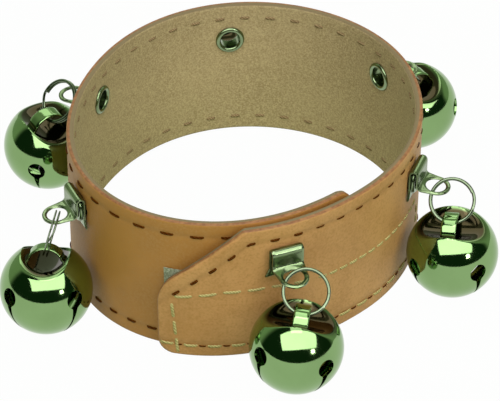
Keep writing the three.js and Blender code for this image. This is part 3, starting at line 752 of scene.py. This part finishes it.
def hanging(name, eye):
    """A ring's middle and its directions across, along its axis and up. Its plane holds the eye's rim, the
    bell's wire and the way of the wire there, and its middle lies one wire radius in from the wire."""
    ring, bell = joints[f"ring_swing_{name}"], joints[f"bell_swing_{name}"]
    rim, wire, wire_way, across = (np.array(j[key]) for key in ("pos_m", "axis") for j in (ring, bell))
    radial = unit(np.cross(np.cross(across, wire - rim), across))
    middle = wire - np.sign(radial @ (wire - rim)) * radial * WIRE_MIDDLE
    wire_way *= np.sign(wire_way @ (rim - eye))
    up = unit(rim - middle)
    return middle, np.array([wire_way, np.cross(up, wire_way), up])


wire_look = nickel_look("nickel_wire", (0.19, 0.24, 0.15), (0.13, 0.165, 0.1), 0.16)
ring_points, ring_faces = ring_wire()
for i, name in enumerate(STATIONS):
    middle, ways = station_place(i)
    eye_out, eye_up = hanger_line(TAB_DROPS.get(name, TAB_DROP))[3]
    ring_middle, ring_ways = hanging(name, middle + eye_out * ways[1] + eye_up * ways[2])
    points = ring_points @ ring_ways + ring_middle
    node = f"split_ring_{name}"
    piece(node + "_wire", points, ring_faces, wire_look, f"ring_{name}", [node], sharp=60)

# The bells: thin pressed shells of nickel-plated steel, round but for the crown. The crown is pressed in
# to an oblong bowl with a bridge across it for the ring, and four keyhole slits meet at the foot.
BELL_RADIUS = 12.1 * mm
BELL_WALL = 0.6 * mm
POCKET_LENGTH = 30 * mm
POCKET_WIDTH = 12.6 * mm
POCKET_DEPTH = 4.6 * mm
POCKET_SOFT = 2.4 * mm
BRIDGE_WIDTH = 4 * mm
BRIDGE_SPAN = 9.5 * mm
BRIDGE_FOOT = 8 * mm
BRIDGE_THICKNESS = 0.7 * mm
BRIDGE_CLEARANCE = 0.7 * mm
BRIDGE_EDGE_ROUND = 0.25 * mm
BRIDGE_EDGE_REACH = 0.15 * mm
BRIDGE_EDGE_BAND = 0.6 * mm
KEYHOLE = 2.4 * mm
KEYHOLE_RISE = 1 * mm
SLIT_NARROW_DROP = 5 * mm
SLIT_TOP = 2.2 * mm
SLIT_BOTTOM = 0.6 * mm
BALL_RADIUS = 3 * mm
BALL_GAP = 0.15 * mm
POLE_DEGREES = 89.6
FINE_FROM_DEGREES = 26
BELL_TO_WIRE = BELL_RADIUS - BRIDGE_THICKNESS - BRIDGE_CLEARANCE - WIRE_WIDTH / 2 - TURN_PITCH / 4


def dome(azimuth, latitude):
    """The bell before pressing: a ball."""
    r = BELL_RADIUS * np.cos(latitude)
    height = BELL_RADIUS * np.sin(latitude)
    return np.stack([r * np.cos(azimuth), r * np.sin(azimuth), height], axis=-1)


def bell_skin(azimuth, latitude):
    """The dome with its crown pressed in: the height is the lesser of the dome's and that of a rounded
    oblong bowl at the crown, straighter along its sides than an ellipsoid. The rim where the two meet is
    rounded."""
    x, y, z = np.moveaxis(dome(azimuth, latitude), -1, 0)
    oblong = np.abs(2 * x / POCKET_LENGTH) ** 3 + (2 * y / POCKET_WIDTH) ** 2
    bowl = BELL_RADIUS - POCKET_DEPTH * np.sqrt(np.maximum(1 - oblong, 0))
    near_rim = np.maximum(1 - np.abs(z - bowl) / POCKET_SOFT, 0)
    pressed = np.minimum(z, bowl) - POCKET_SOFT / 4 * near_rim**2
    return np.stack([x, y, pressed], axis=-1)


def bell_outline(azimuth, latitude):
    """Distance from two crossed keyhole slits: a round hole near the widest part, and a slit that narrows
    below it."""
    x, y, z = np.moveaxis(dome(azimuth, latitude), -1, 0)
    taper = np.clip((z + SLIT_NARROW_DROP) / (KEYHOLE_RISE + SLIT_NARROW_DROP), 0, 1)
    half_slit = (SLIT_BOTTOM + taper * (SLIT_TOP - SLIT_BOTTOM)) / 2
    inside = np.full(x.shape, BELL_RADIUS)
    for across in ((x - y) / math.sqrt(2), (x + y) / math.sqrt(2)):
        hole = np.hypot(across, z - KEYHOLE_RISE) - KEYHOLE
        slit = np.where(z < KEYHOLE_RISE, np.abs(across) - half_slit, KEYHOLE)
        inside = np.minimum(inside, np.minimum(hole, slit))
    return inside


def skin_normal(skin, u, v):
    """Unit normal of a skin from small steps of its two parameters."""
    small = 1e-3
    along_u = skin(u + small, v) - skin(u - small, v)
    along_v = skin(u, v + small) - skin(u, v - small)
    return unit(np.cross(along_u, along_v))


def bridge_skin(turn, across):
    """Half an ellipse carried across the strip: half the span times the turn's cosine, and the rise times
    its sine."""
    height = BRIDGE_FOOT + (BELL_RADIUS - BRIDGE_FOOT) * np.sin(turn)
    return np.stack([across, BRIDGE_SPAN / 2 * np.cos(turn), height], axis=-1)


def bell_mesh():
    """The shell's outer and inner skins on a cut grid of azimuth and latitude, and the bridge on a grid of
    its own."""
    azimuths = np.radians(np.linspace(0, 360, 193))
    low = np.linspace(-POLE_DEGREES, 0, 50)
    waist = np.linspace(0, FINE_FROM_DEGREES, 14)[1:-1]
    high = np.linspace(FINE_FROM_DEGREES, POLE_DEGREES, 58)
    latitudes = np.radians(np.concatenate([low, waist, high]))
    azimuth, latitude, faces = trimmed(azimuths, latitudes, bell_outline, closed=True)
    outer = bell_skin(azimuth, latitude)
    inner = outer - BELL_WALL * skin_normal(bell_skin, azimuth, latitude)
    shell, shell_faces = walled(outer, inner, faces)

    half = BRIDGE_WIDTH / 2

    def strip(turn, across):
        return half - np.abs(across) + 0 * turn

    edge_lines = np.array([0, 0.1, 0.3]) * mm
    flat_half = half - BRIDGE_EDGE_BAND
    flat_lines = np.linspace(-flat_half, flat_half, 9)
    widths = np.concatenate([edge_lines - half, flat_lines, half - edge_lines[::-1]])
    turn, across, faces = trimmed(np.radians(np.linspace(1, 179, 65)), widths, strip)
    top = bridge_skin(turn, across)
    out = skin_normal(bridge_skin, turn, across)
    out *= np.sign(out[:, 2] + out[:, 1] * np.sign(top[:, 1]))[:, None]
    drawn = BRIDGE_EDGE_ROUND * np.exp(-strip(turn, across) / BRIDGE_EDGE_REACH)[:, None]
    bridge, bridge_faces = walled(top - drawn * out, top - (BRIDGE_THICKNESS - drawn) * out, faces)
    shifted = [f + len(shell) for f in bridge_faces]
    # The recess mark, how far the skin is pressed in under the dome, places the painted shade in the
    # crown's bowl.
    sunk = np.clip((dome(azimuth, latitude) - outer)[:, 2] / mm, 0, 1)
    recess = np.concatenate([sunk, sunk, np.zeros(len(bridge))])
    return np.concatenate([shell, bridge]), [*shell_faces, *shifted], {"recess": recess}


def ball_profile():
    """A half circle from pole to pole, closed along the axis."""
    height = BALL_RADIUS + BELL_WALL + BALL_GAP - BELL_RADIUS
    return arc((0, height), (BALL_RADIUS, BALL_RADIUS), -90, 90, 17)


# The bell's last colour, (0.05, 0.04, 0.02), is painted shade for the inside of the crown's bowl.
bell_look = nickel_look("nickel_bell", (0.235, 0.38, 0.155), (0.215, 0.35, 0.14), 0.06, (0.05, 0.04, 0.02))
ball_look = nickel_look("steel_ball", (0.4, 0.4, 0.38), (0.28, 0.28, 0.26), 0.3)
bell_points, bell_faces, bell_marks = bell_mesh()
ball_points, ball_faces = revolved(ball_profile(), 28)
for name in STATIONS:
    bell_axis = np.array(joints[f"ball_rattle_{name}"]["axis"])
    wire, wire_way = (np.array(joints[f"bell_swing_{name}"][key]) for key in ("pos_m", "axis"))
    bell_side = unit(np.cross(bell_axis, wire_way))
    ways = np.array([np.cross(bell_side, bell_axis), bell_side, bell_axis])
    middle = wire - bell_axis * BELL_TO_WIRE
    shell, ball = f"bell_shell_{name}", f"rattle_ball_{name}"
    points = bell_points @ ways + middle
    piece(
        shell + "_pressed", points, bell_faces, bell_look, f"bell_{name}", [shell],
        bell_marks, sharp=50,
    )
    points = ball_points @ ways + middle
    piece(ball + "_steel", points, [ball_faces], ball_look, f"ball_{name}", [ball])

# The studio: a floor that lights the band as sage cloth does, but shows as nearly white to the camera and
# in the metal, a pale backdrop behind and a dark room in front. A wide soft box hangs over the camera, with
# weaker ones overhead and behind and a small key light.
FLOOR_SIZE = 6.0
FLOOR_DROP = 0.2 * mm
LIGHTS_AIM = (0, 0, 0.02)
FLOOR_SAGE = (0.33, 0.48, 0.27)
FLOOR_WHITENED = 0.98
BACKDROP = (0.38, 0.47, 0.32)
DARK_ROOM = (0.012, 0.032, 0.014)


def flat_square(name, size, z):
    """A square floor, worked out on a coarse grid."""
    side = np.linspace(-size / 2, size / 2, 9)
    x, y = np.meshgrid(side, side, indexing="ij")
    index = np.arange(x.size).reshape(x.shape)
    faces = quads(index[:-1, :-1], index[1:, :-1], index[1:, 1:], index[:-1, 1:])
    mesh = bpy.data.meshes.new(name)
    points = np.stack([x, y, z + 0 * x], axis=-1).reshape(-1, 3)
    mesh.from_pydata(points.tolist(), [], faces.tolist())
    made = bpy.data.objects.new(name, mesh)
    bpy.context.scene.collection.objects.link(made)
    return made


floor = flat_square("floor", FLOOR_SIZE, -FLOOR_DROP)
floor_look, floor_shader, floor_start = new_look("sage_floor", Roughness=0.9, Specular_IOR_Level=0.1)
floor_start.feed(floor_shader, {"Base Color": FLOOR_SAGE})
rays = ("Is Camera Ray", "Is Glossy Ray", "Is Transmission Ray")
camera_ray, glossy_ray, clear_ray = (floor_start.node("LightPath", output=ray) for ray in rays)
seen = camera_ray + glossy_ray + clear_ray
white = floor_start.node("Emission", inputs={"Color": (1, 1, 1), "Strength": 1.0})
lit = Socket(floor_look.node_tree, floor_shader.outputs["BSDF"])
shown = floor_start.node("MixShader", inputs={0: seen * FLOOR_WHITENED, 1: lit, 2: white})
floor_start.feed(floor_look.node_tree.nodes["Material Output"], {"Surface": shown})
floor.data.materials.append(floor_look)

world = bpy.data.worlds.new("studio")
world.use_nodes = True
world_start = Socket(world.node_tree)
sky_way = world_start.node("TexCoord", output="Generated")
behind = world_start.node("SeparateXYZ", inputs={0: sky_way}, output="Y").step(0.0, 0.3)
room = behind.colours(DARK_ROOM, BACKDROP)
world_start.feed(world.node_tree.nodes["Background"], {"Color": room})
bpy.context.scene.world = world


def softbox(name, place, width, height, power):
    """A rectangular light that faces the band, with its power in watts."""
    data = bpy.data.lights.new(name, "AREA")
    data.shape = "RECTANGLE"
    data.size, data.size_y, data.energy = width, height, power
    made = bpy.data.objects.new(name, data)
    made.location = place
    made.rotation_mode = "QUATERNION"
    made.rotation_quaternion = (Vector(LIGHTS_AIM) - Vector(place)).to_track_quat("-Z", "Y")
    bpy.context.scene.collection.objects.link(made)


softbox("over_camera", (0.1, -0.66, 0.95), 2.05, 1.0, 20)
softbox("overhead", (0, -0.02, 1.1), 0.5, 0.75, 2.2)
softbox("behind", (0, 0.85, 0.85), 1.3, 0.6, 3.6)
softbox("key", (0.54, -0.65, 0.31), 0.12, 0.12, 0.7)

# The camera: a long lens at the photograph's height, aimed at the middle of the band. Its focal length is
# given as a share of the picture's width, both in pixels.
EYE_DISTANCE = 850 * mm
EYE_ELEVATION = math.radians(38)
AIM = (2.32 * mm, 0, 10.7 * mm)
FOCAL_SHARE = 3140 / 500
ROLL = math.radians(0.38)
camera_data = bpy.data.cameras.new("camera")
camera_data.sensor_width = 36
camera_data.lens = FOCAL_SHARE * camera_data.sensor_width
camera_data.clip_start, camera_data.clip_end = 0.05, 20
camera = bpy.data.objects.new("camera", camera_data)
back = (0, -math.cos(EYE_ELEVATION), math.sin(EYE_ELEVATION))
camera.location = Vector(band_middle) + EYE_DISTANCE * Vector(back)
look_way = Vector(band_middle) + Vector(AIM) - camera.location
camera.rotation_mode = "QUATERNION"
camera.rotation_quaternion = look_way.to_track_quat("-Z", "Y") @ Quaternion((0, 0, 1), ROLL)
bpy.context.scene.collection.objects.link(camera)
bpy.context.scene.camera = camera
bpy.context.scene.view_settings.view_transform = "Standard"
